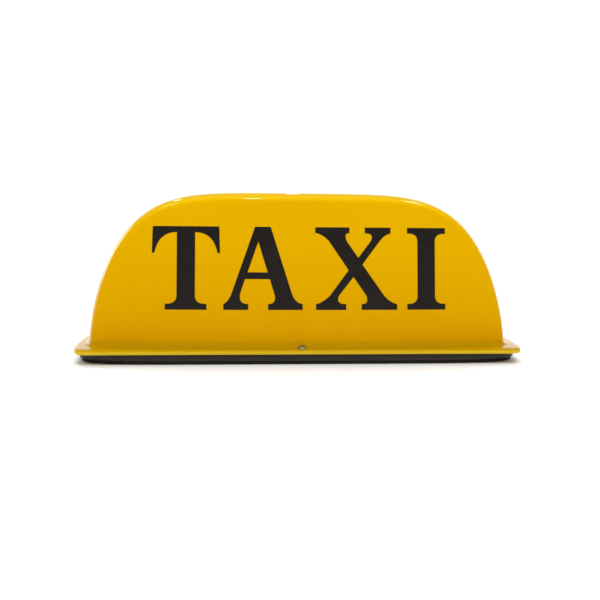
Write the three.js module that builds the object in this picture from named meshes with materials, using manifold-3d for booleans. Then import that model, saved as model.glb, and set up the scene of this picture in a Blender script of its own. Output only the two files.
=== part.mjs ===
// A magnetic taxi roof sign: a hollow yellow lens with a flange, on a black tray that holds four pot
// magnets, a rubber roof pad and a 12 V LED board. Millimetres, +Z up, the long way along X, the
// front face towards -Y, the origin in the middle of the underside of the roof pad.
import * as THREE from "three";
import { mergeVertices } from "three/addons/utils/BufferGeometryUtils.js";
import Module from "manifold-3d";

const wasm = await Module();
wasm.setup();

// ---- Driving dimensions ----
const LENGTH = 360;
const DEPTH = 122;
const GAP = 0.3;
const OVERCUT = 2;
const HOLE_SIDES = 10;
const DISC_SIDES = 24;

const PAD_THICKNESS = 2.4;
const PAD_INSET = 4.5;
const TRAY_HEIGHT = 5.4;
const TRAY_INSET = 3;
const TRAY_WALL = 2.7;
const TRAY_FLOOR = 2.5;
const FLANGE_THICKNESS = 3.8;

const TRAY_BOTTOM = PAD_THICKNESS + GAP;
const TRAY_TOP = TRAY_BOTTOM + TRAY_HEIGHT;
const FLOOR_TOP = TRAY_BOTTOM + TRAY_FLOOR;
const FLANGE_BOTTOM = TRAY_TOP + GAP;
const FLANGE_TOP = FLANGE_BOTTOM + FLANGE_THICKNESS;

const DOME_HALF_LENGTH = 172.8;
const DOME_HEIGHT = 122.8;
const DOME_FOOT_HALF_DEPTH = 47;
const DOME_TOP_HALF_DEPTH = 32;
const DOME_BOW = 6;
const DOME_EDGE_INSET = 9;
const DOME_WALL = 2.6;

const CAP_HEIGHT = 65.5;
const LETTER_BASE = FLANGE_TOP + 28.8;
const VINYL_THICKNESS = 0.35;

const MAGNET_X = [-118, -45, 45, 118];
const BOARD_HALF_LENGTH = 125;
const BOARD_HALF_DEPTH = 12;
const BOARD_BOTTOM = 20;
const BOARD_THICKNESS = 1.6;

// ---- Materials ----
function material(color, roughness, metalness = 0) {
  return new THREE.MeshStandardMaterial({ color, roughness, metalness });
}

const YELLOW_LENS = material(0xf2b400, 0.18);
const BLACK_VINYL = material(0x1c1814, 0.45);
const BLACK_ABS = material(0x2c2828, 0.55);
const RUBBER = material(0x1e1c1c, 0.85);
const STEEL = material(0xb9bcc0, 0.3, 1);
const FERRITE = material(0x3c3d40, 0.7, 0.2);
const GREEN_BOARD = material(0x1d5b36, 0.5);
const LED_WHITE = material(0xf3f1e6, 0.4);
const RED_WIRE = material(0xb3201c, 0.5);
const BLACK_WIRE = material(0x181818, 0.5);

const group = new THREE.Group();

function addPart(name, geometry, look) {
  const mesh = new THREE.Mesh(geometry, look);
  mesh.name = name;
  group.add(mesh);
  return mesh;
}

// ---- Solids: closed geometry to a manifold and back ----
function toSolid(geometry) {
  const bare = geometry.index ? geometry.toNonIndexed() : geometry.clone();
  bare.deleteAttribute("normal");
  bare.deleteAttribute("uv");
  const merged = mergeVertices(bare, 1e-4);
  return new wasm.Manifold(
    new wasm.Mesh({
      numProp: 3,
      vertProperties: merged.attributes.position.array,
      triVerts: new Uint32Array(merged.index.array),
    }),
  );
}

function toGeometry(solid) {
  const mesh = solid.getMesh();
  const geometry = new THREE.BufferGeometry();
  geometry.setAttribute("position", new THREE.BufferAttribute(new Float32Array(mesh.vertProperties), 3));
  geometry.setIndex(new THREE.BufferAttribute(new Uint32Array(mesh.triVerts), 1));
  geometry.computeVertexNormals();
  return geometry;
}

// A geometry made of triangles given by their corner points, leaving out any with two equal corners.
function trianglesToGeometry(triangles) {
  const whole = triangles.filter(([a, b, c]) => !a.equals(b) && !b.equals(c) && !c.equals(a));
  return new THREE.BufferGeometry().setFromPoints(whole.flat());
}

function cylinder(radius, bottom, top, x = 0, y = 0, sides = HOLE_SIDES) {
  const geometry = new THREE.CylinderGeometry(radius, radius, top - bottom, sides);
  geometry.rotateX(Math.PI / 2);
  geometry.translate(x, y, (bottom + top) / 2);
  return toSolid(geometry);
}

function box(sizeX, sizeY, sizeZ, x, y, z) {
  const geometry = new THREE.BoxGeometry(sizeX, sizeY, sizeZ);
  geometry.translate(x, y, z);
  return toSolid(geometry);
}

// A solid turned round a vertical axis; the profile is [radius, height] pairs, from axis to axis.
function turned(profile, x, y, sides) {
  const points = profile.map(([radius, height]) => new THREE.Vector2(radius, height));
  const geometry = new THREE.LatheGeometry(points, sides);
  geometry.rotateX(Math.PI / 2);
  geometry.translate(x, y, 0);
  return toSolid(geometry);
}

// ---- Plan outlines: |x/a|^along + |y/b|^across = 1 ----
// The flange is a rectangle with tight corners and slightly bowed ends; the tray and pad are rounder.
const FLANGE_PLAN = { along: 60, across: 1.8 };
const BASE_PLAN = { along: 6.6, across: 6.6 };
const OUTLINE_STEPS = 56;

function planOutline(plan, insetX, insetY) {
  const points = [];
  for (let i = 0; i < OUTLINE_STEPS; i++) {
    const angle = (2 * Math.PI * i) / OUTLINE_STEPS;
    const along = Math.cos(angle);
    const across = Math.sin(angle);
    const x = (LENGTH / 2 - insetX) * Math.sign(along) * Math.abs(along) ** (2 / plan.along);
    const y = (DEPTH / 2 - insetY) * Math.sign(across) * Math.abs(across) ** (2 / plan.across);
    points.push(new THREE.Vector2(x, y));
  }
  return points;
}

function plate(outline, bottom, top, bevel = 0) {
  const geometry = new THREE.ExtrudeGeometry(new THREE.Shape(outline), {
    depth: top - bottom - 2 * bevel,
    bevelEnabled: bevel > 0,
    bevelThickness: bevel,
    bevelSize: bevel,
    bevelOffset: -bevel,
    bevelSegments: 1,
  });
  geometry.translate(0, 0, bottom + bevel);
  return toSolid(geometry);
}

function basePlate(inset, bottom, top) {
  return plate(planOutline(BASE_PLAN, inset, inset), bottom, top);
}

// ---- The dome ----
// Its front outline is |x/a|^OUT_POWER + (z/h)^UP_POWER = 1. From that outline the surface rounds
// over, DOME_EDGE_INSET wide, into a gently bowed face that leans back as it rises.
const OUT_POWER = 5.05;
const UP_POWER = 1.64;
const HALF_COLUMNS = 17;
const ROUND_STEPS = 4;
const FACE_STEPS = 3;

// Half the front outline, evenly spaced from the right foot to the top.
function halfSilhouette(halfLength, height) {
  const samples = [];
  const fine = 240;
  for (let i = 0; i <= fine; i++) {
    const angle = (Math.PI / 2) * (i / fine);
    const x = i === fine ? 0 : halfLength * Math.cos(angle) ** (2 / OUT_POWER);
    const z = height * Math.sin(angle) ** (2 / UP_POWER);
    samples.push(new THREE.Vector2(x, z));
  }
  return new THREE.SplineCurve(samples).getSpacedPoints(HALF_COLUMNS);
}

// The whole front outline as points with their inward normals, from the right foot to the left.
function silhouette(halfLength, height) {
  const right = halfSilhouette(halfLength, height).map((point) => {
    const slopeX = (OUT_POWER / halfLength) * (point.x / halfLength) ** (OUT_POWER - 1);
    const slopeZ = (UP_POWER / height) * Math.max(0, point.y / height) ** (UP_POWER - 1);
    const inward = new THREE.Vector2(-slopeX, -slopeZ).normalize();
    return { point, inward };
  });
  const left = right.slice(0, -1).map(({ point, inward }) => ({
    point: new THREE.Vector2(-point.x, point.y),
    inward: new THREE.Vector2(-inward.x, inward.y),
  }));
  return [...right, ...left.reverse()];
}

function domeHalfDepth(x, z) {
  const lean = (DOME_FOOT_HALF_DEPTH - DOME_TOP_HALF_DEPTH) * (z / DOME_HEIGHT);
  return DOME_FOOT_HALF_DEPTH - lean - DOME_BOW * (x / DOME_HALF_LENGTH) ** 2;
}

// A solid dome on the flange top, grown outwards by grow and carried down by drop below its foot.
function domeSolid(grow, drop) {
  const outline = silhouette(DOME_HALF_LENGTH + grow, DOME_HEIGHT + grow);

  // One row of points, from the foot on the right over the top to the foot on the left.
  function row(place) {
    const points = outline.map(({ point, inward }) => place(point, inward));
    const first = points[0].clone().setZ(FLANGE_TOP - drop);
    const last = points[points.length - 1].clone().setZ(FLANGE_TOP - drop);
    return [first, ...points, last];
  }

  function roundRow(angle, side) {
    const inset = DOME_EDGE_INSET * (1 - Math.cos(angle));
    return row((point, inward) => {
      const x = point.x + inward.x * inset;
      const z = Math.max(0, point.y + inward.y * inset);
      const y = side * (domeHalfDepth(x, z) + grow) * Math.sin(angle);
      return new THREE.Vector3(x, y, FLANGE_TOP + z);
    });
  }

  function faceRow(scale, side) {
    return row((point, inward) => {
      const x = scale * (point.x + inward.x * DOME_EDGE_INSET);
      const z = scale * Math.max(0, point.y + inward.y * DOME_EDGE_INSET);
      return new THREE.Vector3(x, side * (domeHalfDepth(x, z) + grow), FLANGE_TOP + z);
    });
  }

  // Rows from the middle of the front face out to the crown; the back face mirrors them.
  function halfRows(side) {
    const rows = [];
    for (let i = 0; i < FACE_STEPS; i++) rows.push(faceRow(i / FACE_STEPS, side));
    for (let i = ROUND_STEPS; i > 0; i--) rows.push(roundRow((Math.PI / 2) * (i / ROUND_STEPS), side));
    return rows;
  }
  const rows = [...halfRows(-1), roundRow(0, 1), ...halfRows(1).reverse()];

  const triangles = [];
  const quad = (a, b, c, d) => triangles.push([a, b, c], [a, c, d]);
  for (let j = 0; j + 1 < rows.length; j++) {
    const near = rows[j];
    const far = rows[j + 1];
    for (let i = 0; i + 1 < near.length; i++) quad(near[i], far[i], far[i + 1], near[i + 1]);
    const last = near.length - 1;
    quad(near[last], far[last], far[0], near[0]);
  }
  return toSolid(trianglesToGeometry(triangles));
}

// ---- Screws ----
const CROSS_ARM = 0.9;

// A pan-head screw: its head stands on the seat, and its shank runs to the tip, above or below.
function panScrew({ headRadius, headHeight, shankRadius, tip }, seat, x, y) {
  const way = Math.sign(seat - tip);
  const profile = [
    [0, tip],
    [shankRadius * 0.6, tip],
    [shankRadius, tip + way * shankRadius],
    [shankRadius, seat],
    [headRadius, seat],
    [headRadius, seat + way * headHeight * 0.5],
    [headRadius * 0.7, seat + way * headHeight],
    [0, seat + way * headHeight],
  ];
  return turned(way > 0 ? profile : profile.reverse(), x, y, HOLE_SIDES);
}

// The cross recess in the head of an upright screw.
function crossRecess({ headRadius, headHeight }, seat, x, y) {
  const armLength = headRadius * 1.1;
  const middle = seat + headHeight;
  const along = box(armLength, CROSS_ARM, headHeight, x, y, middle);
  return along.add(box(CROSS_ARM, armLength, headHeight, x, y, middle));
}

const FLANGE_SCREW_Y = 54.5;
const FLANGE_SCREW = { headRadius: 3.7, headHeight: 2.2, shankRadius: 1.5, tip: 4 };
const COVER_SCREW_X = 138;
const COVER_SCREW_Y = 30;
const COVER_SCREW = { headRadius: 3.6, headHeight: 1.9, shankRadius: 1.5, tip: 20 };
const COVER_SEAT = TRAY_BOTTOM + COVER_SCREW.headHeight + GAP;
const BOARD_SCREW_X = 81.5;
const BOARD_SCREW_Y = 8;
const BOARD_SCREW = { headRadius: 2.7, headHeight: 2, shankRadius: 1.2, tip: 11 };
const MAGNET_SCREW = { headRadius: 4.5, headHeight: 2.8, shankRadius: 2, tip: 6 };

const SIGNS = [-1, 1];
const CORNERS = SIGNS.flatMap((sideX) => SIGNS.map((sideY) => [sideX, sideY]));

// ---- Lens: the moulded yellow shell, its flange and the four screw bosses inside ----
const LIP_BEVEL = 0.7;
const FLANGE_OVERLAP = 1;
const PILOT_DEPTH = 2;

function lensShell() {
  const flange = plate(planOutline(FLANGE_PLAN, 0, 0), FLANGE_BOTTOM, FLANGE_TOP, LIP_BEVEL);
  const drop = FLANGE_THICKNESS + OVERCUT;
  let shell = flange.add(domeSolid(0, FLANGE_OVERLAP)).subtract(domeSolid(-DOME_WALL, drop));

  const bossRadius = 4.5;
  const bossTop = 27;
  const ribThickness = 2.4;
  const ribLength = 12;
  const inside = domeSolid(-DOME_WALL / 2, drop);
  for (const [sideX, sideY] of CORNERS) {
    const x = sideX * COVER_SCREW_X;
    const y = sideY * COVER_SCREW_Y;
    const height = bossTop - FLANGE_BOTTOM;
    const middle = (bossTop + FLANGE_BOTTOM) / 2;
    const rib = box(ribThickness, ribLength, height, x, y + (sideY * ribLength) / 2, middle);
    const boss = cylinder(bossRadius, FLANGE_BOTTOM, bossTop, x, y).add(rib);
    shell = shell.add(boss.intersect(inside));
    const pilotTop = COVER_SCREW.tip + PILOT_DEPTH;
    shell = shell.subtract(cylinder(COVER_SCREW.shankRadius + GAP, 0, pilotTop, x, y));
  }
  for (const side of SIGNS) {
    const hole = FLANGE_SCREW.shankRadius + GAP;
    shell = shell.subtract(cylinder(hole, 0, FLANGE_TOP + OVERCUT, 0, side * FLANGE_SCREW_Y));
  }
  return shell;
}

addPart("lens_shell", toGeometry(lensShell()), YELLOW_LENS);

// ---- Lettering: plain bracketed slab letters, in hundredths of the cap height ----
// Each outline is drawn with moves, lines and curves; curves carry a control point first.
const STEM = 11;
const SLAB = 7;
const BRACKET = 17;

function drawT() {
  const shape = new THREE.Shape();
  shape.moveTo(-40, 100);
  shape.lineTo(-41, 68);
  shape.lineTo(-38, 68);
  shape.quadraticCurveTo(-33, 93, -STEM, 93);
  shape.lineTo(-STEM, BRACKET);
  shape.quadraticCurveTo(-STEM, 8, -21, SLAB);
  shape.lineTo(-25, SLAB);
  shape.lineTo(-25, 0);
  shape.lineTo(25, 0);
  shape.lineTo(25, SLAB);
  shape.lineTo(21, SLAB);
  shape.quadraticCurveTo(STEM, 8, STEM, BRACKET);
  shape.lineTo(STEM, 93);
  shape.quadraticCurveTo(33, 93, 38, 68);
  shape.lineTo(41, 68);
  shape.lineTo(40, 100);
  return shape;
}

function drawA() {
  const shape = new THREE.Shape();
  shape.moveTo(-48, 0);
  shape.lineTo(-18, 0);
  shape.lineTo(-18, SLAB);
  shape.lineTo(-21, SLAB);
  shape.quadraticCurveTo(-31, 9, -27, 22);
  shape.lineTo(-22, 37);
  shape.lineTo(8, 37);
  shape.lineTo(14, 18);
  shape.quadraticCurveTo(16, 8, 8, SLAB);
  shape.lineTo(6, SLAB);
  shape.lineTo(6, 0);
  shape.lineTo(48, 0);
  shape.lineTo(48, SLAB);
  shape.quadraticCurveTo(39, 8, 35, 19);
  shape.lineTo(9, 100);
  shape.lineTo(-10, 100);
  shape.lineTo(-38, 20);
  shape.quadraticCurveTo(-42, 9, -48, SLAB);
  const counter = new THREE.Path();
  counter.moveTo(-6, 82);
  counter.lineTo(5.5, 45);
  counter.lineTo(-19, 45);
  shape.holes.push(counter);
  return shape;
}

function drawX() {
  const shape = new THREE.Shape();
  shape.moveTo(-49, 0);
  shape.lineTo(-12, 0);
  shape.lineTo(-12, SLAB);
  shape.lineTo(-15, SLAB);
  shape.quadraticCurveTo(-25, 8, -21, BRACKET);
  shape.lineTo(-3, 40);
  shape.lineTo(13, BRACKET);
  shape.quadraticCurveTo(16, 8, 9, SLAB);
  shape.lineTo(7, SLAB);
  shape.lineTo(7, 0);
  shape.lineTo(51, 0);
  shape.lineTo(51, SLAB);
  shape.quadraticCurveTo(43, 8, 35, BRACKET);
  shape.lineTo(8, 55);
  shape.lineTo(29, 83);
  shape.quadraticCurveTo(36, 92, 43, 93);
  shape.lineTo(43, 100);
  shape.lineTo(11, 100);
  shape.lineTo(11, 93);
  shape.lineTo(14, 93);
  shape.quadraticCurveTo(23, 92, 18, 83);
  shape.lineTo(3, 63);
  shape.lineTo(-11, 83);
  shape.quadraticCurveTo(-15, 92, -10, 93);
  shape.lineTo(-8, 93);
  shape.lineTo(-8, 100);
  shape.lineTo(-50, 100);
  shape.lineTo(-50, 93);
  shape.quadraticCurveTo(-41, 92, -33, 83);
  shape.lineTo(-9, 48);
  shape.lineTo(-32, BRACKET);
  shape.quadraticCurveTo(-42, 8, -49, SLAB);
  return shape;
}

function drawI() {
  const shape = new THREE.Shape();
  shape.moveTo(-24, 0);
  shape.lineTo(24, 0);
  shape.lineTo(24, SLAB);
  shape.lineTo(20, SLAB);
  shape.quadraticCurveTo(STEM, 8, STEM, BRACKET);
  shape.lineTo(STEM, 100 - BRACKET);
  shape.quadraticCurveTo(STEM, 92, 20, 100 - SLAB);
  shape.lineTo(24, 100 - SLAB);
  shape.lineTo(24, 100);
  shape.lineTo(-24, 100);
  shape.lineTo(-24, 100 - SLAB);
  shape.lineTo(-20, 100 - SLAB);
  shape.quadraticCurveTo(-STEM, 92, -STEM, 100 - BRACKET);
  shape.lineTo(-STEM, BRACKET);
  shape.quadraticCurveTo(-STEM, 8, -20, SLAB);
  shape.lineTo(-24, SLAB);
  return shape;
}

// The letters and where the middle of each stands along X.
const LETTERS = [
  { name: "t", draw: drawT, middle: -91.5 },
  { name: "a", draw: drawA, middle: -30.4 },
  { name: "x", draw: drawX, middle: 43.8 },
  { name: "i", draw: drawI, middle: 101.3 },
];

// The thin layer over the dome that the cut vinyl fills.
const vinylLayer = domeSolid(GAP + VINYL_THICKNESS, 0).subtract(domeSolid(GAP, OVERCUT));

function letterSolid(letter, side) {
  const reach = 80;
  const scale = CAP_HEIGHT / 100;
  const prism = new THREE.ExtrudeGeometry(letter.draw(), {
    depth: reach,
    bevelEnabled: false,
    curveSegments: 3,
  });
  prism.scale(scale, scale, 1);
  prism.rotateX(Math.PI / 2);
  prism.translate(letter.middle, 0, LETTER_BASE);
  if (side > 0) prism.rotateZ(Math.PI);
  return toSolid(prism).intersect(vinylLayer);
}

for (const letter of LETTERS) {
  addPart("front_letter_" + letter.name, toGeometry(letterSolid(letter, -1)), BLACK_VINYL);
  addPart("back_letter_" + letter.name, toGeometry(letterSolid(letter, 1)), BLACK_VINYL);
}

// ---- Base tray: floor, rim, magnet pockets, screw bosses and board standoffs ----
const CUP_RADIUS = 23.2;
const POCKET_WALL = 2.3;
const POCKET_TOP = 13.6;
const POCKET_ROOF = 2.2;
const POCKET_RADIUS = CUP_RADIUS + 0.5;
const FLANGE_BOSS_RADIUS = 4;
const COVER_BOSS_RADIUS = 5.2;
const BOARD_POST_RADIUS = 3.4;
const GROMMET = { x: 30, width: 9, front: 42, back: 59.5, lipWidth: 11, lipThickness: 1.8, lipHeight: 4.2 };
const GROMMET_GAP_WIDTH = GROMMET.width + 2 * GAP;

// The gap that lets the grommet through the tray's rear wall and the gasket.
function grommetGap() {
  const from = GROMMET.front - GAP;
  const to = DEPTH / 2;
  const middle = FLOOR_TOP + TRAY_HEIGHT / 2;
  return box(GROMMET_GAP_WIDTH, to - from, TRAY_HEIGHT, GROMMET.x, (from + to) / 2, middle);
}

function baseTray() {
  const outer = basePlate(TRAY_INSET, TRAY_BOTTOM, TRAY_TOP);
  let tray = outer.subtract(basePlate(TRAY_INSET + TRAY_WALL, FLOOR_TOP, TRAY_TOP + OVERCUT));

  for (const x of MAGNET_X) {
    tray = tray.add(cylinder(POCKET_RADIUS + POCKET_WALL, TRAY_BOTTOM, POCKET_TOP, x, 0, DISC_SIDES));
    tray = tray.subtract(cylinder(POCKET_RADIUS, 0, POCKET_TOP - POCKET_ROOF, x, 0, DISC_SIDES));
    tray = tray.subtract(cylinder(MAGNET_SCREW.shankRadius + GAP, 0, POCKET_TOP + OVERCUT, x, 0));
  }
  for (const side of SIGNS) {
    const y = side * FLANGE_SCREW_Y;
    tray = tray.add(cylinder(FLANGE_BOSS_RADIUS, TRAY_BOTTOM, TRAY_TOP, 0, y).intersect(outer));
    const hole = FLANGE_SCREW.shankRadius + GAP;
    tray = tray.subtract(cylinder(hole, FLANGE_SCREW.tip - GAP, TRAY_TOP + OVERCUT, 0, y));
  }
  for (const [sideX, sideY] of CORNERS) {
    const x = sideX * COVER_SCREW_X;
    const y = sideY * COVER_SCREW_Y;
    tray = tray.add(cylinder(COVER_BOSS_RADIUS, TRAY_BOTTOM, TRAY_TOP, x, y));
    tray = tray.subtract(cylinder(COVER_SCREW.headRadius + GAP, 0, COVER_SEAT + GAP, x, y));
    tray = tray.subtract(cylinder(COVER_SCREW.shankRadius + GAP, 0, TRAY_TOP + OVERCUT, x, y));
    const postX = sideX * BOARD_SCREW_X;
    const postY = sideY * BOARD_SCREW_Y;
    tray = tray.add(cylinder(BOARD_POST_RADIUS, TRAY_BOTTOM, BOARD_BOTTOM - GAP, postX, postY));
    const pilotBottom = BOARD_SCREW.tip - 1;
    tray = tray.subtract(cylinder(BOARD_SCREW.shankRadius + GAP, pilotBottom, BOARD_BOTTOM, postX, postY));
  }
  return tray.subtract(grommetGap());
}

addPart("base_tray", toGeometry(baseTray()), BLACK_ABS);

// ---- Seal gasket: a foam rubber ring under the foot of the dome ----
function sealGasket() {
  const endInset = 6.4;
  const sideInset = 11.6;
  const width = 3.4;
  const bottom = FLOOR_TOP + GAP;
  const top = FLANGE_BOTTOM - GAP;
  const outer = plate(planOutline(BASE_PLAN, endInset, sideInset), bottom, top);
  const inner = plate(planOutline(BASE_PLAN, endInset + width, sideInset + width), 0, top + OVERCUT);
  return outer.subtract(inner).subtract(grommetGap());
}

addPart("seal_gasket", toGeometry(sealGasket()), RUBBER);

// ---- Roof pad: a rubber sheet that keeps the paint from scratches, open round each magnet ----
const BOOT_RADIUS = 25;
const BOOT_CLEARANCE = 0.5;
const SCREW_WINDOW_RADIUS = COVER_SCREW.headRadius + 1;

function roofPad() {
  let pad = basePlate(PAD_INSET, 0, PAD_THICKNESS);
  const top = PAD_THICKNESS + OVERCUT;
  for (const x of MAGNET_X) {
    pad = pad.subtract(cylinder(BOOT_RADIUS + BOOT_CLEARANCE, -OVERCUT, top, x, 0, DISC_SIDES));
  }
  for (const [sideX, sideY] of CORNERS) {
    const x = sideX * COVER_SCREW_X;
    pad = pad.subtract(cylinder(SCREW_WINDOW_RADIUS, -OVERCUT, top, x, sideY * COVER_SCREW_Y));
  }
  return pad;
}

addPart("roof_pad", toGeometry(roofPad()), RUBBER);

// ---- Magnets: rubber boot, steel cup, ferrite ring and the screw that holds them in each pocket ----
const CUP_BOTTOM = 3.5;
const CUP_TOP = POCKET_TOP - POCKET_ROOF - GAP;
const CUP_WALL = 1.8;
const CUP_ROOF = 2;
const CUP_HOLE = MAGNET_SCREW.shankRadius + GAP;

function magnetBoot(x) {
  const plugTop = CUP_BOTTOM - GAP;
  const edge = 0.6;
  return turned(
    [
      [0, 0],
      [BOOT_RADIUS - edge, 0],
      [BOOT_RADIUS, edge],
      [BOOT_RADIUS, PAD_THICKNESS],
      [CUP_RADIUS, PAD_THICKNESS],
      [CUP_RADIUS, plugTop],
      [0, plugTop],
    ],
    x,
    0,
    DISC_SIDES,
  );
}

function magnetCup(x) {
  const cup = cylinder(CUP_RADIUS, CUP_BOTTOM, CUP_TOP, x, 0, DISC_SIDES);
  const well = cylinder(CUP_RADIUS - CUP_WALL, 0, CUP_TOP - CUP_ROOF, x, 0, DISC_SIDES);
  return cup.subtract(well).subtract(cylinder(CUP_HOLE, 0, CUP_TOP + OVERCUT, x, 0));
}

function magnetRing(x) {
  const radius = CUP_RADIUS - CUP_WALL - GAP;
  const ring = cylinder(radius, CUP_BOTTOM, CUP_TOP - CUP_ROOF - GAP, x, 0, DISC_SIDES);
  return ring.subtract(cylinder(CUP_HOLE + 1, 0, CUP_TOP, x, 0));
}

function magnetScrew(x) {
  return panScrew(MAGNET_SCREW, POCKET_TOP + GAP, x, 0);
}

MAGNET_X.forEach((x, index) => {
  const number = index + 1;
  addPart("magnet_boot_" + number, toGeometry(magnetBoot(x)), RUBBER);
  addPart("magnet_cup_" + number, toGeometry(magnetCup(x)), STEEL);
  addPart("magnet_ring_" + number, toGeometry(magnetRing(x)), FERRITE);
  addPart("magnet_screw_" + number, toGeometry(magnetScrew(x)), STEEL);
});

// ---- Screws of the cover: two down through the flange, four up from the underside ----
for (const [name, side] of [
  ["flange_screw_front", -1],
  ["flange_screw_back", 1],
]) {
  const seat = FLANGE_TOP + GAP;
  const screw = panScrew(FLANGE_SCREW, seat, 0, side * FLANGE_SCREW_Y);
  const recess = crossRecess(FLANGE_SCREW, seat, 0, side * FLANGE_SCREW_Y);
  addPart(name, toGeometry(screw.subtract(recess)), STEEL);
}

CORNERS.forEach(([sideX, sideY], index) => {
  const screw = panScrew(COVER_SCREW, COVER_SEAT, sideX * COVER_SCREW_X, sideY * COVER_SCREW_Y);
  addPart("cover_screw_" + (index + 1), toGeometry(screw), STEEL);
});

// ---- LED board on its standoffs ----
const BOARD_TOP = BOARD_BOTTOM + BOARD_THICKNESS;
const PART_SEAT = BOARD_TOP + GAP;

function ledBoard() {
  const middle = (BOARD_BOTTOM + BOARD_TOP) / 2;
  let board = box(2 * BOARD_HALF_LENGTH, 2 * BOARD_HALF_DEPTH, BOARD_THICKNESS, 0, 0, middle);
  for (const [sideX, sideY] of CORNERS) {
    const x = sideX * BOARD_SCREW_X;
    const y = sideY * BOARD_SCREW_Y;
    board = board.subtract(cylinder(BOARD_SCREW.shankRadius + GAP, 0, BOARD_TOP + OVERCUT, x, y));
  }
  return board;
}

addPart("led_board", toGeometry(ledBoard()), GREEN_BOARD);

CORNERS.forEach(([sideX, sideY], index) => {
  const screw = panScrew(BOARD_SCREW, PART_SEAT, sideX * BOARD_SCREW_X, sideY * BOARD_SCREW_Y);
  addPart("board_screw_" + (index + 1), toGeometry(screw), STEEL);
});

// Eight square LED packages in a row, each with a round well for its light.
const LED_COUNT = 8;
const LED_PITCH = 32;
const LED = { size: 5, height: 1.6, wellRadius: 2, wellDepth: 0.5 };

function led(x) {
  const top = PART_SEAT + LED.height;
  const packageSolid = box(LED.size, LED.size, LED.height, x, 0, PART_SEAT + LED.height / 2);
  return packageSolid.subtract(cylinder(LED.wellRadius, top - LED.wellDepth, top + OVERCUT, x, 0));
}

for (let i = 0; i < LED_COUNT; i++) {
  const x = (i - (LED_COUNT - 1) / 2) * LED_PITCH;
  addPart("led_" + (i + 1), toGeometry(led(x)), LED_WHITE);
}

// Two chip resistors between the LEDs.
const CHIP = { length: 6.4, width: 3.2, height: 1 };

SIGNS.forEach((side, index) => {
  const middle = PART_SEAT + CHIP.height / 2;
  const chip = box(CHIP.length, CHIP.width, CHIP.height, side * LED_PITCH, 0, middle);
  addPart("resistor_" + (index + 1), toGeometry(chip), BLACK_WIRE);
});

// ---- Lead entry: connector on the board, two leads, and the grommet in the rear rim ----
const LEAD_RADIUS = 0.9;
const LEAD_SPREAD = 1.7;
const LEAD_HEIGHT = 6.75;
const LEAD_CLEARANCE = 0.2;
const CONNECTOR = { width: 10, depth: 8, height: 7, wellDepth: 2.5, leadZ: PART_SEAT + 3.5 };

function connector() {
  const { width, depth, height, leadZ } = CONNECTOR;
  let body = box(width, depth, height, 0, 0, PART_SEAT + height / 2);
  for (const side of SIGNS) {
    const radius = LEAD_RADIUS + GAP;
    const well = new THREE.CylinderGeometry(radius, radius, 2 * CONNECTOR.wellDepth, HOLE_SIDES);
    well.translate(side * LEAD_SPREAD, depth / 2, leadZ);
    body = body.subtract(toSolid(well));
  }
  return body;
}

function cableGrommet() {
  const { x, width, front, back, lipWidth, lipThickness, lipHeight } = GROMMET;
  const low = FLOOR_TOP + GAP;
  const high = FLANGE_BOTTOM - GAP;
  const middle = (front + back) / 2;
  const body = box(width, back - front, high - low, x, middle, (low + high) / 2);
  const lipY = DEPTH / 2 - TRAY_INSET + GAP + lipThickness / 2;
  let grommet = body.add(box(lipWidth, lipThickness, lipHeight, x, lipY, TRAY_BOTTOM + TRAY_HEIGHT / 2));
  for (const side of SIGNS) {
    const radius = LEAD_RADIUS + LEAD_CLEARANCE;
    const bore = new THREE.CylinderGeometry(radius, radius, DEPTH / 2, HOLE_SIDES);
    bore.translate(x + side * LEAD_SPREAD, middle, LEAD_HEIGHT);
    grommet = grommet.subtract(toSolid(bore));
  }
  return grommet;
}

// A round lead from the outer face of the grommet, under the lens, up into the connector.
function lead(side) {
  const spread = side * LEAD_SPREAD;
  const route = new THREE.CatmullRomCurve3([
    new THREE.Vector3(GROMMET.x + spread, GROMMET.back, LEAD_HEIGHT),
    new THREE.Vector3(GROMMET.x + spread, GROMMET.front, LEAD_HEIGHT),
    new THREE.Vector3(GROMMET.x - 1 + spread, 35, LEAD_HEIGHT + 1),
    new THREE.Vector3(16 + spread, 25, 15),
    new THREE.Vector3(5 + spread, 17, 24),
    new THREE.Vector3(spread, 9, CONNECTOR.leadZ),
    new THREE.Vector3(spread, 3, CONNECTOR.leadZ),
  ]);
  const section = new THREE.Shape().absarc(0, 0, LEAD_RADIUS, 0, 2 * Math.PI);
  return new THREE.ExtrudeGeometry(section, {
    extrudePath: route,
    steps: 20,
    curveSegments: 4,
    bevelEnabled: false,
  });
}

addPart("board_connector", toGeometry(connector()), BLACK_ABS);
addPart("cable_grommet", toGeometry(cableGrommet()), RUBBER);
addPart("lead_red", lead(1), RED_WIRE);
addPart("lead_black", lead(-1), BLACK_WIRE);

export default group;
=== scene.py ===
"""A magnetic taxi roof sign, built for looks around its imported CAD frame.

Metres, +Z up, front face towards -Y.
"""

import math

import bmesh
import bpy
from mathutils import Matrix, Vector
from mathutils.bvhtree import BVHTree


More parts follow.
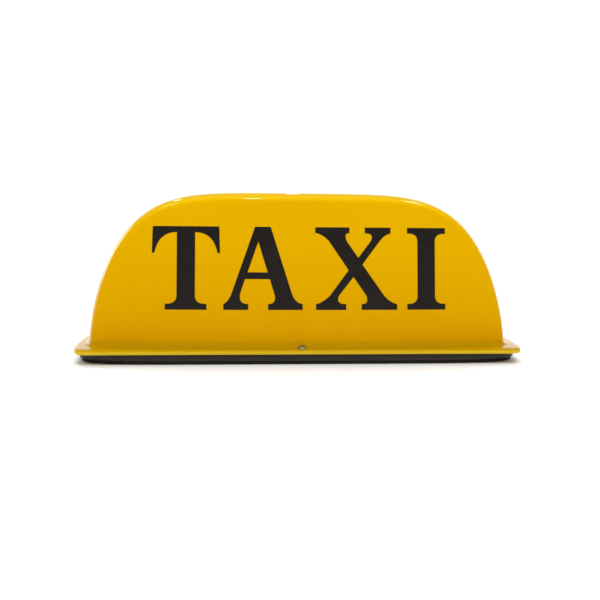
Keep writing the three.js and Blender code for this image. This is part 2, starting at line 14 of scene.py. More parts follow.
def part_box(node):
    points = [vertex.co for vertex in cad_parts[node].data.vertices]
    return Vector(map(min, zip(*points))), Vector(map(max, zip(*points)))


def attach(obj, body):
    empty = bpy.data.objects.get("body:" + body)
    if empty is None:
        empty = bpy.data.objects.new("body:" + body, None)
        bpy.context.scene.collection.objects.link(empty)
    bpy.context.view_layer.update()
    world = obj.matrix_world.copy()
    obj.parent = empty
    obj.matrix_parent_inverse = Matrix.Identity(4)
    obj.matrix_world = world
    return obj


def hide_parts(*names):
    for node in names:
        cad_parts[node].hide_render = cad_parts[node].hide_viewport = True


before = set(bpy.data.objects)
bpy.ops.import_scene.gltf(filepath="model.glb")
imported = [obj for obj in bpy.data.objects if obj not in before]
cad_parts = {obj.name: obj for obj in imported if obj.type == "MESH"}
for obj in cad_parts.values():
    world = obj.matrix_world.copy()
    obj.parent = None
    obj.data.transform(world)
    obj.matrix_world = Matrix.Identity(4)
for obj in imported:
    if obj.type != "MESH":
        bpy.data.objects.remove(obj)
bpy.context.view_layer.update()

MM = 0.001
PI = math.pi
QUARTER = PI / 2
SIDES = (-1, 1)


def new_object(name, data):
    """An object in the scene that holds some data."""
    made = bpy.data.objects.new(name, data)
    bpy.context.scene.collection.objects.link(made)
    return made


# ---- Sizes, from the frame and the few values that shape the mouldings ----
shell_low, shell_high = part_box("lens_shell")
HALF_LENGTH = shell_high.x
HALF_DEPTH = shell_high.y
FLANGE_BOTTOM = shell_low.z
FLANGE_THICKNESS = 3.8 * MM
FLANGE_TOP = FLANGE_BOTTOM + FLANGE_THICKNESS
DOME_HEIGHT = shell_high.z - FLANGE_TOP
DOME_HALF_LENGTH = HALF_LENGTH - 7.2 * MM
DOME_FOOT_HALF_DEPTH = HALF_DEPTH - 14 * MM
DOME_TOP_HALF_DEPTH = 32 * MM
DOME_BOW = 6 * MM
DOME_EDGE_INSET = 9 * MM
DOME_WALL = 2.6 * MM
FOOT_FILLET = 3.2 * MM
# The dome's front outline is |x/a|^OUT_POWER + (z/h)^UP_POWER = 1.
OUT_POWER = 5.05
UP_POWER = 1.64
# The powers along X and along Y of the flange's plan and of the base's.
FLANGE_POWERS = (60, 1.8)
BASE_POWERS = (6.6, 6.6)

# ======== Camera
# The view is from a little to the left of square on and a little above.
VIEW_TURN = math.radians(-3.52)
VIEW_RISE = math.radians(5.09)
VIEW_ROLL = math.radians(0.49)
VIEW_DISTANCE = 0.561
VIEW_TARGET = Vector((0, 0, 63.24 * MM))
# The focal length and the shift are in picture widths.
VIEW_FOCAL = 1.0896
VIEW_SHIFT = (0.0028, -0.0381)
CLIP_RANGE = (0.01, 100)
SENSOR = 36


def make_camera():
    data = bpy.data.cameras.new("camera")
    data.sensor_width = SENSOR
    data.lens = VIEW_FOCAL * SENSOR
    data.shift_x, data.shift_y = VIEW_SHIFT
    data.clip_start, data.clip_end = CLIP_RANGE
    camera = new_object("camera", data)
    level = math.cos(VIEW_RISE)
    back = Vector((math.sin(VIEW_TURN) * level, -math.cos(VIEW_TURN) * level, math.sin(VIEW_RISE)))
    camera.location = VIEW_TARGET + back * VIEW_DISTANCE
    aim = (-back).to_track_quat("-Z", "Y").to_matrix()
    camera.rotation_euler = (aim @ Matrix.Rotation(VIEW_ROLL, 3, "Z")).to_euler()
    bpy.context.scene.camera = camera


# ======== Node trees and materials
# Wear fades in over this range of pointiness, counted from the edge value of its look.
WEAR_FROM = -0.04
WEAR_TO = 0.06
ROUGH_DETAIL = 4.0
BUMP_DETAIL = 2.0


class Graph:
    """A node tree, with short ways to add to it."""

    def __init__(self, tree):
        self.tree = tree

    def node(self, kind, **settings):
        made = self.tree.nodes.new(kind)
        for key, value in settings.items():
            setattr(made, key, value)
        return made

    def join(self, source, target):
        self.tree.links.new(source, target)

    def spread(self, value, low, high, start=0.0, end=1.0, easing="LINEAR"):
        """value from low..high mapped to start..end, clamped."""
        ramp = self.node("ShaderNodeMapRange", interpolation_type=easing)
        for socket, number in (("From Min", low), ("From Max", high), ("To Min", start), ("To Max", end)):
            ramp.inputs[socket].default_value = number
        self.join(value, ramp.inputs["Value"])
        return ramp.outputs["Result"]

    def part(self, vector, axis):
        """One part of a vector, by the name of its axis."""
        split = self.node("ShaderNodeSeparateXYZ")
        self.join(vector, split.inputs[0])
        return split.outputs[axis]

    def calculate(self, operation, *values):
        """The result of an operation such as MULTIPLY on numbers or sockets."""
        made = self.node("ShaderNodeMath", operation=operation)
        for socket, value in zip(made.inputs, values):
            if isinstance(value, float):
                socket.default_value = value
            else:
                self.join(value, socket)
        return made.outputs[0]


class Look(Graph):
    """A node material: one Principled shader with procedural colour, roughness and bump."""

    def __init__(self, name, roughness, metallic=0.0, specular=0.5):
        self.material = bpy.data.materials.new(name)
        self.material.use_nodes = True
        super().__init__(self.material.node_tree)
        self.shader = self.tree.nodes["Principled BSDF"]
        self.shader.inputs["Roughness"].default_value = roughness
        self.shader.inputs["Metallic"].default_value = metallic
        self.shader.inputs["Specular IOR Level"].default_value = specular
        coordinates = self.node("ShaderNodeTexCoord").outputs
        self.place = coordinates["Object"]
        self.facing = coordinates["Normal"]
        self.relief = None

    def noise(self, scale, detail=3.0, stretch=(1, 1, 1)):
        """Noise of about scale bumps a metre, stretched along the axes."""
        mapping = self.node("ShaderNodeMapping")
        mapping.inputs["Scale"].default_value = stretch
        self.join(self.place, mapping.inputs["Vector"])
        noise = self.node("ShaderNodeTexNoise")
        noise.inputs["Scale"].default_value = scale
        noise.inputs["Detail"].default_value = detail
        self.join(mapping.outputs["Vector"], noise.inputs["Vector"])
        return noise.outputs["Fac"]

    def level(self):
        """The height up the object, in metres."""
        return self.part(self.place, "Z")

    def squareness(self):
        """How squarely the surface faces the front or the back, from 0 to 1."""
        return self.calculate("ABSOLUTE", self.part(self.facing, "Y"))

    def blend(self, share, first, second):
        """A colour from first to second as share goes from 0 to 1; either may be a socket."""
        mix = self.node("ShaderNodeMix", data_type="RGBA")
        self.join(share, mix.inputs[0])
        for socket, colour in ((mix.inputs[6], first), (mix.inputs[7], second)):
            if isinstance(colour, tuple):
                socket.default_value = (*colour, 1)
            else:
                self.join(colour, socket)
        return mix.outputs[2]

    def colour(self, socket):
        self.join(socket, self.shader.inputs["Base Color"])

    def mottle(self, first, second, scale, detail=3.0):
        """Base colour that drifts between two close tones."""
        self.colour(self.blend(self.spread(self.noise(scale, detail), 0.35, 0.65), first, second))

    def worn(self, base, tint, edge, amount):
        """base, with tint showing along the sharp edges."""
        pointiness = self.node("ShaderNodeNewGeometry").outputs["Pointiness"]
        wear = self.spread(pointiness, edge + WEAR_FROM, edge + WEAR_TO, 0.0, amount)
        self.colour(self.blend(wear, base, tint))

    def rough(self, low, high, scale, stretch=(1, 1, 1)):
        """Roughness that wanders between low and high."""
        value = self.spread(self.noise(scale, ROUGH_DETAIL, stretch), 0.3, 0.7, low, high)
        self.join(value, self.shader.inputs["Roughness"])
        return self

    def bump(self, scale, depth):
        """Surface relief, depth metres high; several calls stack up."""
        bump = self.node("ShaderNodeBump")
        bump.inputs["Strength"].default_value = 1.0
        bump.inputs["Distance"].default_value = depth
        self.join(self.noise(scale, BUMP_DETAIL), bump.inputs["Height"])
        if self.relief is not None:
            self.join(self.relief, bump.inputs["Normal"])
        self.relief = bump.outputs["Normal"]
        self.join(self.relief, self.shader.inputs["Normal"])
        return self


# The heights over which painted shade darkens the lens low down and at its foot, and over which the lip's
# painted light gives way to the foot's painted shade.
WALL_SHADE_BAND = (18 * MM, 95 * MM)
FOOT_SHADE_BAND = (FLANGE_TOP + 0.4 * MM, FLANGE_TOP + 4.5 * MM)
LIP_LIGHT_BAND = (FLANGE_TOP - 1.6 * MM, FLANGE_TOP - 0.2 * MM)


def yellow_lens():
    """Translucent plastic with light and shade painted into its colour: painted light makes it paler where
    it rounds over and on the lip, painted shade makes it darker low down and darkest at the foot, by the
    dark tray.
    """
    look = Look("yellow_lens", 0.05, specular=0.22)
    height = look.level()
    drift = look.spread(look.noise(5), 0.35, 0.65)
    face = look.blend(drift, (0.655, 0.357, 0.0), (0.68, 0.372, 0.0))
    # Painted light: where the surface turns away from the front and back, on the rounded edges, the colour
    # is a paler, greener yellow than the face.
    upper = look.blend(look.spread(look.squareness(), 0.35, 0.85), (0.70, 0.43, 0.0), face)
    # Painted shade: the wall's colour darkens towards the bottom.
    wall = look.blend(look.spread(height, *WALL_SHADE_BAND), (0.62, 0.31, 0.0), upper)
    # Painted shade: darkest at the foot, where the dome meets the flange.
    foot = look.blend(look.spread(height, *FOOT_SHADE_BAND), (0.445, 0.245, 0.0), wall)
    # Painted light: below the flange top, the lip gets a lighter, greener yellow in place of the foot's
    # painted shade.
    look.colour(look.blend(look.spread(height, *LIP_LIGHT_BAND), (0.62, 0.41, 0.0), foot))
    return look.rough(0.035, 0.065, 26).bump(14, 0.00012).bump(420, 0.0000015).material


def black_vinyl():
    look = Look("black_vinyl", 0.42, specular=0.3)
    look.mottle((0.009, 0.0065, 0.0045), (0.012, 0.0088, 0.0062), 60)
    return look.rough(0.36, 0.5, 90).bump(900, 0.000008).bump(70, 0.00003).material


def black_abs():
    look = Look("black_abs", 0.5, specular=0.22)
    tone = look.blend(look.noise(35, 4), (0.016, 0.0135, 0.0125), (0.023, 0.0195, 0.018))
    look.worn(tone, (0.07, 0.066, 0.063), 0.55, 0.7)
    return look.rough(0.42, 0.6, 140).bump(1500, 0.00003).material


def rubber():
    look = Look("rubber", 0.8, specular=0.3)
    dust = look.spread(look.noise(300, 6), 0.58, 0.72, 0.0, 0.5)
    tone = look.blend(look.noise(40, 3), (0.010, 0.0098, 0.0095), (0.017, 0.0163, 0.016))
    look.colour(look.blend(dust, tone, (0.05, 0.047, 0.043)))
    return look.rough(0.7, 0.92, 120).bump(1100, 0.00005).material


def screw_steel():
    look = Look("screw_steel", 0.28, metallic=1.0)
    tone = look.blend(look.noise(700, 4), (0.52, 0.53, 0.55), (0.68, 0.69, 0.70))
    look.worn(tone, (0.82, 0.82, 0.82), 0.54, 0.6)
    return look.rough(0.2, 0.42, 900, stretch=(1, 1, 4)).bump(2200, 0.000012).material


def cup_steel():
    look = Look("cup_steel", 0.35, metallic=1.0)
    look.mottle((0.44, 0.45, 0.47), (0.60, 0.61, 0.62), 160, 5)
    return look.rough(0.28, 0.5, 260).bump(900, 0.00001).material


def ferrite():
    look = Look("ferrite", 0.65, specular=0.45)
    look.mottle((0.035, 0.036, 0.04), (0.06, 0.061, 0.066), 500, 6)
    return look.rough(0.55, 0.8, 300).bump(1400, 0.00004).material


def board_green():
    look = Look("board_green", 0.35, specular=0.5)
    look.mottle((0.010, 0.095, 0.035), (0.016, 0.13, 0.05), 90)
    return look.rough(0.28, 0.42, 200).bump(1300, 0.00001).material


def led_white():
    look = Look("led_white", 0.4)
    look.mottle((0.80, 0.79, 0.74), (0.88, 0.87, 0.82), 300)
    return look.rough(0.34, 0.5, 500).bump(1500, 0.00001).material


def chip_black():
    look = Look("chip_black", 0.45)
    look.mottle((0.008, 0.008, 0.009), (0.014, 0.014, 0.015), 400)
    return look.rough(0.36, 0.52, 600).bump(2000, 0.00001).material


def wire_look(name, first, second):
    look = Look(name, 0.35)
    look.mottle(first, second, 120)
    return look.rough(0.3, 0.45, 300).bump(900, 0.00001).material


def board_track():
    look = Look("board_track", 0.3, specular=0.5)
    look.mottle((0.020, 0.17, 0.055), (0.030, 0.21, 0.075), 120)
    return look.rough(0.24, 0.36, 260).bump(1300, 0.00001).material


def tin():
    look = Look("tin", 0.3, metallic=1.0)
    look.mottle((0.66, 0.66, 0.65), (0.80, 0.80, 0.78), 900, 5)
    return look.rough(0.2, 0.45, 1200).bump(1800, 0.00002).material


def phosphor():
    look = Look("phosphor", 0.25, specular=0.5)
    look.mottle((0.80, 0.60, 0.08), (0.86, 0.68, 0.14), 800)
    return look.rough(0.15, 0.3, 700).bump(1500, 0.00001).material


# ======== Pieces
LOOKS = {
    "yellow_lens": yellow_lens(),
    "black_vinyl": black_vinyl(),
    "black_abs": black_abs(),
    "rubber": rubber(),
    "screw_steel": screw_steel(),
    "cup_steel": cup_steel(),
    "ferrite": ferrite(),
    "board_green": board_green(),
    "board_track": board_track(),
    "tin": tin(),
    "led_white": led_white(),
    "phosphor": phosphor(),
    "chip_black": chip_black(),
    "wire_red": wire_look("wire_red", (0.40, 0.012, 0.010), (0.50, 0.020, 0.015)),
    "wire_black": wire_look("wire_black", (0.008, 0.008, 0.008), (0.014, 0.014, 0.014)),
}


def add_mesh(name, mesh, look, body, replaced=(), place=(0, 0, 0), flipped=False):
    """A smooth-shaded piece that rides on a body and stands for CAD nodes; meshes may be shared."""
    if not mesh.materials:
        mesh.materials.append(LOOKS[look])
        for polygon in mesh.polygons:
            polygon.use_smooth = True
    piece = new_object(name, mesh)
    piece.location = place
    if flipped:
        piece.rotation_euler = (PI, 0, 0)
    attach(piece, body)
    if replaced:
        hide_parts(*replaced)


def add_copies(places, *pieces):
    """The pieces (name, mesh, look, node or None) at each of several places, numbered from 1."""
    for i, place in enumerate(places):
        number = "_%d" % (i + 1)
        for name, mesh, look, node in pieces:
            add_mesh(name + number, mesh, look, "base", [node + number] if node else (), place)


def middle_of(node):
    low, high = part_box(node)
    return (low + high) / 2


def middles_of(nodes):
    return [middle_of(node) for node in nodes]


def numbered(prefix, count=4):
    return ["%s_%d" % (prefix, i + 1) for i in range(count)]


# ---- The dome's shape, as the CAD has it ----
SAMPLE_COUNT = 2000


def half_depth(x, z):
    """Half the dome's depth at height z over the flange, at the flat of its face."""
    lean = (DOME_FOOT_HALF_DEPTH - DOME_TOP_HALF_DEPTH) * z / DOME_HEIGHT
    return DOME_FOOT_HALF_DEPTH - lean - DOME_BOW * (x / DOME_HALF_LENGTH) ** 2


def silhouette_samples(half_length, height):
    """Half the front outline as (x, z) points, from the right foot to the top."""
    samples = []
    for i in range(SAMPLE_COUNT + 1):
        angle = QUARTER * i / SAMPLE_COUNT
        x = half_length * max(0.0, math.cos(angle)) ** (2 / OUT_POWER)
        samples.append(Vector((x, height * math.sin(angle) ** (2 / UP_POWER))))
    samples[-1].x = 0
    return samples


def inward(point, half_length, height):
    """The unit normal that points into the front outline at one of its points."""
    slope_x = OUT_POWER / half_length * (point.x / half_length) ** (OUT_POWER - 1)
    slope_z = UP_POWER / height * max(0.0, point.y / height) ** (UP_POWER - 1)
    return Vector((-slope_x, -slope_z)).normalized()


def evenly(samples, count):
    """count + 1 points evenly spaced along a run of samples."""
    lengths = [0.0]
    for a, b in zip(samples, samples[1:]):
        lengths.append(lengths[-1] + (b - a).length)
    points, k = [], 0
    for i in range(count + 1):
        goal = lengths[-1] * i / count
        while k < len(lengths) - 2 and lengths[k + 1] < goal:
            k += 1
        share = (goal - lengths[k]) / (lengths[k + 1] - lengths[k])
        points.append(samples[k].lerp(samples[k + 1], share))
    return points


FILLET_STEPS = 6
WALL_STEPS = 26
TOP_STEPS = 72
ROUND_STEPS = 12
# The wall ends where the outline's unit normal points less than this sideways.
SLOPE_AT_CORNER = 0.75
EASE_POWER = 3


class Dome:
    """The dome's surface grown by grow, as closed loops from the foot up and a cap over the top."""

    def __init__(self, grow):
        self.grow = grow
        self.half_length = DOME_HALF_LENGTH + grow
        self.height = DOME_HEIGHT + grow
        samples = silhouette_samples(self.half_length, self.height)
        steep = [p for p in samples if -inward(p, self.half_length, self.height).x > SLOPE_AT_CORNER]
        rows = [FOOT_FILLET * (1 - math.cos(QUARTER * i / FILLET_STEPS)) for i in range(FILLET_STEPS)]
        wall = evenly([p for p in steep if p.y >= FOOT_FILLET], WALL_STEPS)
        self.side = [self.at_height(z) for z in rows] + wall
        across = evenly([wall[-1]] + samples[len(steep):], TOP_STEPS // 2)
        self.top = [Vector((-p.x, p.y)) for p in across[:-1]] + across[::-1]
        self.loops = [self.loop(i) for i in range(len(self.side))]
        self.cap = [[self.arch(p, m) for m in range(2 * ROUND_STEPS + 1)] for p in self.top]

    def at_height(self, z):
        return Vector((self.half_length * (1 - (z / self.height) ** UP_POWER) ** (1 / OUT_POWER), z))

    def rounded(self, point, angle, side):
        """The point of the surface at an outline point, angle round from the crown to the face."""
        mirror = -1 if point.x < 0 else 1
        right = Vector((abs(point.x), point.y))
        inset = DOME_EDGE_INSET * (1 - math.cos(angle))
        place = right + inward(right, self.half_length, self.height) * inset
        z = max(0.0, place.y)
        y = side * (half_depth(place.x, z) + self.grow) * math.sin(angle)
        return Vector((mirror * place.x, y, FLANGE_TOP + z))

    def arch(self, point, m):
        angle = QUARTER * (1 - m / ROUND_STEPS)
        return self.rounded(point, abs(angle), -1 if angle > 0 else 1)

    def face_row(self, i, side):
        """The face's points of one loop from left to right, eased into the top edge's curve."""
        corner = self.rounded(self.side[-1], QUARTER, side)
        core = self.rounded(self.side[i], QUARTER, side)
        ease = ((core.z - FLANGE_TOP) / (corner.z - FLANGE_TOP)) ** EASE_POWER
        points = []
        for j, top in enumerate(self.top):
            edge = self.rounded(top, QUARTER, side)
            along = 2 * j / TOP_STEPS - 1
            x = core.x * along + ease * (edge.x - corner.x * along)
            z = core.z + ease * (edge.z - corner.z)
            points.append(Vector((x, side * (half_depth(x, z - FLANGE_TOP) + self.grow), z)))
        return points

    def loop(self, i):
        """One closed loop, anticlockwise from above, starting at the left of the front face."""
        right = self.side[i]
        left = Vector((-right.x, right.y))
        front = self.face_row(i, -1)
        back = self.face_row(i, 1)[::-1]
        right_end = [self.arch(right, m) for m in range(2 * ROUND_STEPS)]
        left_end = [self.arch(left, m) for m in range(2 * ROUND_STEPS, 0, -1)]
        return front[:-1] + right_end + back[:-1] + left_end

    def cap_faces(self, loop_start, cap_start):
        """The cap's quads; its edge is the last loop, whose first point is number loop_start."""
        wide, deep = TOP_STEPS, 2 * ROUND_STEPS

        def index(j, m):
            if m == 0:
                return loop_start + j
            if j == wide:
                return loop_start + wide + m
            if m == deep:
                return loop_start + wide + deep + (wide - j)
            if j == 0:
                return loop_start + 2 * wide + deep + (deep - m)
            return cap_start + (j - 1) * (deep - 1) + (m - 1)

        cells = [(j, m) for j in range(wide) for m in range(deep)]
        return [(index(j, m), index(j + 1, m), index(j + 1, m + 1), index(j, m + 1)) for j, m in cells]

    def cap_points(self):
        return [p for row in self.cap[1:-1] for p in row[1:-1]]


def plan_normals(loop):
    """The outward level normal at each point of a loop that runs anticlockwise."""
    normals = []
    for k in range(len(loop)):
        along = loop[(k + 1) % len(loop)] - loop[k - 1]
        normals.append(Vector((along.y, -along.x, 0)).normalized())
    return normals


def plan_outline(powers, half_length, half_depth, steps):
    """|x/a|^along + |y/b|^across = 1 as a loop, anticlockwise from the middle of the front."""
    along, across = powers
    quadrant = []
    for i in range(steps + 1):
        share = i / steps
        x = share * 0.5 ** (1 / along)
        quadrant.append((x, (1 - x**along) ** (1 / across)))
    for i in range(steps - 1, -1, -1):
        y = i / steps * 0.5 ** (1 / across)
        quadrant.append(((1 - y**across) ** (1 / along), y))
    front_right = [Vector((x * half_length, -y * half_depth, 0)) for x, y in quadrant]
    back_right = [Vector((p.x, -p.y, 0)) for p in front_right[-2::-1]]
    right = front_right + back_right
    left = [Vector((-p.x, p.y, 0)) for p in right[-2:0:-1]]
    return right + left


def travel(loop):
    """How far along a closed loop each point is, counting both length and turning; ends at 2."""
    count = len(loop)
    steps = [loop[(k + 1) % count] - loop[k] for k in range(count)]
    turns = [steps[k - 1].angle(steps[k]) for k in range(count)]
    whole_length = sum(step.length for step in steps)
    whole_turn = sum(turns)
    totals = [0.0]
    for k, step in enumerate(steps):
        turn = (turns[k] + turns[(k + 1) % count]) / 2
        totals.append(totals[-1] + step.length / whole_length + turn / whole_turn)
    return totals


def matching_points(loop, outline):
    """For each point of a foot loop, the point of the outline that is as far round as it is."""
    half = TOP_STEPS // 2
    order = [(half + k) % len(loop) for k in range(len(loop))]
    goals = travel([loop[i] for i in order])
    totals = travel(outline)
    found, k = [None] * len(loop), 0
    for index, goal in zip(order, goals):
        while k < len(outline) - 1 and totals[k + 1] < goal:
            k += 1
        share = (goal - totals[k]) / (totals[k + 1] - totals[k])
        found[index] = outline[k].lerp(outline[(k + 1) % len(outline)], share)
    return found


LIP_RADIUS = 1.1 * MM
LIP_STEPS = 4
LIP_PLAN_STEPS = 160


def lip_section():
    """(inset, height) down the flange's rounded edge, from the underside up to the top."""
    section = []
    for centre, start in ((FLANGE_BOTTOM + LIP_RADIUS, -QUARTER), (FLANGE_TOP - LIP_RADIUS, 0.0)):
        for i in range(LIP_STEPS + 1):
            angle = start + QUARTER * i / LIP_STEPS
            section.append((LIP_RADIUS * (1 - math.cos(angle)), centre + LIP_RADIUS * math.sin(angle)))
    return section


def make_lens():
    """The whole moulding as one closed skin: cavity, underside, lip, flange, fillet and dome."""
    outer, inner = Dome(0.0), Dome(-DOME_WALL)
    foot = outer.loops[0]
    normals = plan_normals(foot)
    plan = plan_outline(FLANGE_POWERS, HALF_LENGTH, HALF_DEPTH, LIP_PLAN_STEPS)
    edge = matching_points(foot, plan)
    edge_normals = plan_normals(edge)

    cavity = inner.loops[::-1]
    cavity_mouth = [Vector((p.x, p.y, FLANGE_BOTTOM)) for p in inner.loops[0]]
    lip = []
    for inset, z in lip_section():
        lip.append([p - n * inset + Vector((0, 0, z)) for p, n in zip(edge, edge_normals)])
    shelf = [a.lerp(b + n * FOOT_FILLET, 0.5) for a, b, n in zip(lip[-1], foot, normals)]
    walls = []
    for i, loop in enumerate(outer.loops):
        turn = QUARTER * min(1.0, i / FILLET_STEPS)
        flare = FOOT_FILLET * (1 - math.sin(turn))
        walls.append([p + n * flare for p, n in zip(loop, normals)])
    loops = cavity + [cavity_mouth] + lip + [shelf] + walls

    count = len(foot)
    points = [p for loop in loops for p in loop]
    faces = []
    for row in range(len(loops) - 1):
        for k in range(count):
            a, b = row * count + k, row * count + (k + 1) % count
            faces.append((a, b, b + count, a + count))
    inner_start = len(points)
    points += inner.cap_points()
    faces += [face[::-1] for face in inner.cap_faces(0, inner_start)]
    outer_start = len(points)
    points += outer.cap_points()
    faces += outer.cap_faces((len(loops) - 1) * count, outer_start)
    mesh = bpy.data.meshes.new("lens")
    mesh.from_pydata([tuple(p) for p in points], [], faces)
    add_mesh("lens", mesh, "yellow_lens", "lens", ["lens_shell"])
    return BVHTree.FromPolygons(points, faces)


# ---- Lettering: plain bracketed slab letters, in hundredths of the cap height ----
STEM = 11
SLAB = 7
BRACKET = 17
CURVE_STEPS = 10


class Pen:
    """Draws one closed outline with straight lines and curves."""

    def __init__(self, x, z):
        self.points = [Vector((x, z))]

    def line(self, *ends):
        self.points += [Vector(end) for end in ends]
        return self

    def curve(self, control, end):
        start, control, end = self.points[-1], Vector(control), Vector(end)
        for i in range(1, CURVE_STEPS + 1):
            t = i / CURVE_STEPS
            self.points.append(start.lerp(control, t).lerp(control.lerp(end, t), t))
        return self


def draw_t():
    pen = Pen(-40, 100).line((-41, 68), (-38, 68)).curve((-33, 93), (-STEM, 93))
    pen.line((-STEM, BRACKET)).curve((-STEM, 8), (-21, SLAB)).line((-25, SLAB), (-25, 0))
    pen.line((25, 0), (25, SLAB), (21, SLAB)).curve((STEM, 8), (STEM, BRACKET))
    pen.line((STEM, 93)).curve((33, 93), (38, 68)).line((41, 68), (40, 100))
    return [pen.points]


def draw_a():
    pen = Pen(-48, 0).line((-18, 0), (-18, SLAB), (-21, SLAB)).curve((-31, 9), (-27, 22))
    pen.line((-22, 37), (8, 37), (14, 18)).curve((16, 8), (8, SLAB)).line((6, SLAB), (6, 0))
    pen.line((48, 0), (48, SLAB)).curve((39, 8), (35, 19)).line((9, 100), (-10, 100), (-38, 20))
    pen.curve((-42, 9), (-48, SLAB))
    counter = Pen(-6, 82).line((5.5, 45), (-19, 45))
    return [pen.points, counter.points]


def draw_x():
    pen = Pen(-49, 0).line((-12, 0), (-12, SLAB), (-15, SLAB)).curve((-25, 8), (-21, BRACKET))
    pen.line((-3, 40), (13, BRACKET)).curve((16, 8), (9, SLAB)).line((7, SLAB), (7, 0))
    pen.line((51, 0), (51, SLAB)).curve((43, 8), (35, BRACKET)).line((8, 55), (29, 83))
    pen.curve((36, 92), (43, 93)).line((43, 100), (11, 100), (11, 93), (14, 93))
    pen.curve((23, 92), (18, 83)).line((3, 63), (-11, 83)).curve((-15, 92), (-10, 93))
    pen.line((-8, 93), (-8, 100), (-50, 100), (-50, 93)).curve((-41, 92), (-33, 83))
    pen.line((-9, 48), (-32, BRACKET)).curve((-42, 8), (-49, SLAB))
    return [pen.points]


def draw_i():
    pen = Pen(-24, 0).line((24, 0), (24, SLAB), (20, SLAB)).curve((STEM, 8), (STEM, BRACKET))
    pen.line((STEM, 100 - BRACKET)).curve((STEM, 92), (20, 100 - SLAB))
    pen.line((24, 100 - SLAB), (24, 100), (-24, 100), (-24, 100 - SLAB), (-20, 100 - SLAB))
    pen.curve((-STEM, 92), (-STEM, 100 - BRACKET)).line((-STEM, BRACKET))
    pen.curve((-STEM, 8), (-20, SLAB)).line((-24, SLAB))
    return [pen.points]


LETTERS = {"t": draw_t, "a": draw_a, "x": draw_x, "i": draw_i}
CAP_HEIGHT = 100
VINYL_LIFT = 0.02 * MM
VINYL_THICKNESS = 0.16 * MM
VINYL_CELL = 3.0 * MM
VINYL_MERGE = 0.0001 * MM
VINYL_SHARP_ANGLE = math.radians(40)


def flat_letter(outlines, side, low, high):
    """A letter as flat faces in the plane y = 0, in the place of its node's box."""
    scale = (high.z - low.z) / CAP_HEIGHT
    left = min(p.x for p in outlines[0])
    start = low.x if side < 0 else high.x
    sheet = bmesh.new()
    for outline in outlines:
        ring = []
        for p in outline:
            x = start - side * (p.x - left) * scale
            ring.append(sheet.verts.new((x, 0, low.z + p.y * scale)))
        for a, b in zip(ring, ring[1:] + ring[:1]):
            sheet.edges.new((a, b))
    bmesh.ops.remove_doubles(sheet, verts=sheet.verts, dist=VINYL_MERGE)
    bmesh.ops.triangle_fill(sheet, edges=sheet.edges, use_beauty=True, use_dissolve=False)
    return sheet


def slice_sheet(sheet, normal, first, last):
    """Cuts a sheet's faces into cells along a normal, so that they can bend."""
    for i in range(1, math.ceil((last - first) / VINYL_CELL)):
        geometry = sheet.verts[:] + sheet.edges[:] + sheet.faces[:]
        place = normal * (first + i * VINYL_CELL)
        bmesh.ops.bisect_plane(sheet, geom=geometry, plane_co=place, plane_no=normal)


def make_letter(name, side, draw, surface):
    """A letter of cut vinyl that follows the dome, in the place of its CAD node."""
    node = ("front" if side < 0 else "back") + "_letter_" + name
    low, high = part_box(node)
    sheet = flat_letter(draw(), side, low, high)
    slice_sheet(sheet, Vector((1, 0, 0)), low.x, high.x)
    slice_sheet(sheet, Vector((0, 0, 1)), low.z, high.z)
    top = bmesh.ops.extrude_face_region(sheet, geom=sheet.faces[:])["geom"]
    raised = {v for v in top if isinstance(v, bmesh.types.BMVert)}
    for v in sheet.verts:
        hit = surface.ray_cast(Vector((v.co.x, side, v.co.z)), Vector((0, -side, 0)))[0]
        lift = VINYL_LIFT + (VINYL_THICKNESS if v in raised else 0)
        v.co.y = hit.y + side * lift
    bmesh.ops.recalc_face_normals(sheet, faces=sheet.faces)
    mesh = bpy.data.meshes.new(node)
    sheet.to_mesh(mesh)
    sheet.free()
    mesh.set_sharp_from_angle(angle=VINYL_SHARP_ANGLE)
    add_mesh("vinyl_" + node, mesh, "black_vinyl", "lens", [node])


# ======== Small solids
ROUND_SIDES = 48
PLATE_PLAN_STEPS = 40
SHARP_ANGLE = math.radians(38)


def skinned(loops, ring=False):
    """A solid of closed loops joined one to the next; its ends are capped, or joined in a ring."""
    solid = bmesh.new()
    rings = [[solid.verts.new(point) for point in loop] for loop in loops]
    pairs = list(zip(rings, rings[1:]))
    if ring:
        pairs.append((rings[-1], rings[0]))
    else:
        solid.faces.new(rings[0])
        solid.faces.new(rings[-1])
    for lower, upper in pairs:
        for k, corner in enumerate(lower):
            after = (k + 1) % len(lower)
            solid.faces.new((corner, lower[after], upper[after], upper[k]))
    bmesh.ops.recalc_face_normals(solid, faces=solid.faces)
    return solid


def circle(radius, z, x, y):
    angles = [2 * PI * k / ROUND_SIDES for k in range(ROUND_SIDES)]
    return [Vector((x + radius * math.cos(angle), y + radius * math.sin(angle), z)) for angle in angles]


def turned(profile, x=0.0, y=0.0, ring=False):
    """A solid turned round an upright axis from (radius, height) pairs in millimetres."""
    return skinned([circle(radius * MM, z * MM, x, y) for radius, z in profile], ring)


def drills(places, radius, low, high):
    """Upright cylinders at several places, to cut holes with."""
    return [turned([(radius, low), (radius, high)], place.x, place.y) for place in places]


def bosses(places, radius, low, high, edge=0.5):
    """Round posts with a rounded top edge, at several places."""
    rim = edge * 0.3
    profile = [(radius, low), (radius, high - edge), (radius - rim, high - rim), (radius - edge, high)]
    return [turned(profile, place.x, place.y) for place in places]


def block(size, middle, radius):
    """A box with rounded edges, all in millimetres."""
    solid = bmesh.new()
    place = Matrix.LocRotScale(Vector(middle) * MM, None, Vector(size) * MM)
    bmesh.ops.create_cube(solid, size=1, matrix=place)
    bmesh.ops.bevel(solid, geom=solid.edges[:], offset=radius * MM, segments=3, profile=0.5, affect="EDGES")
    return solid


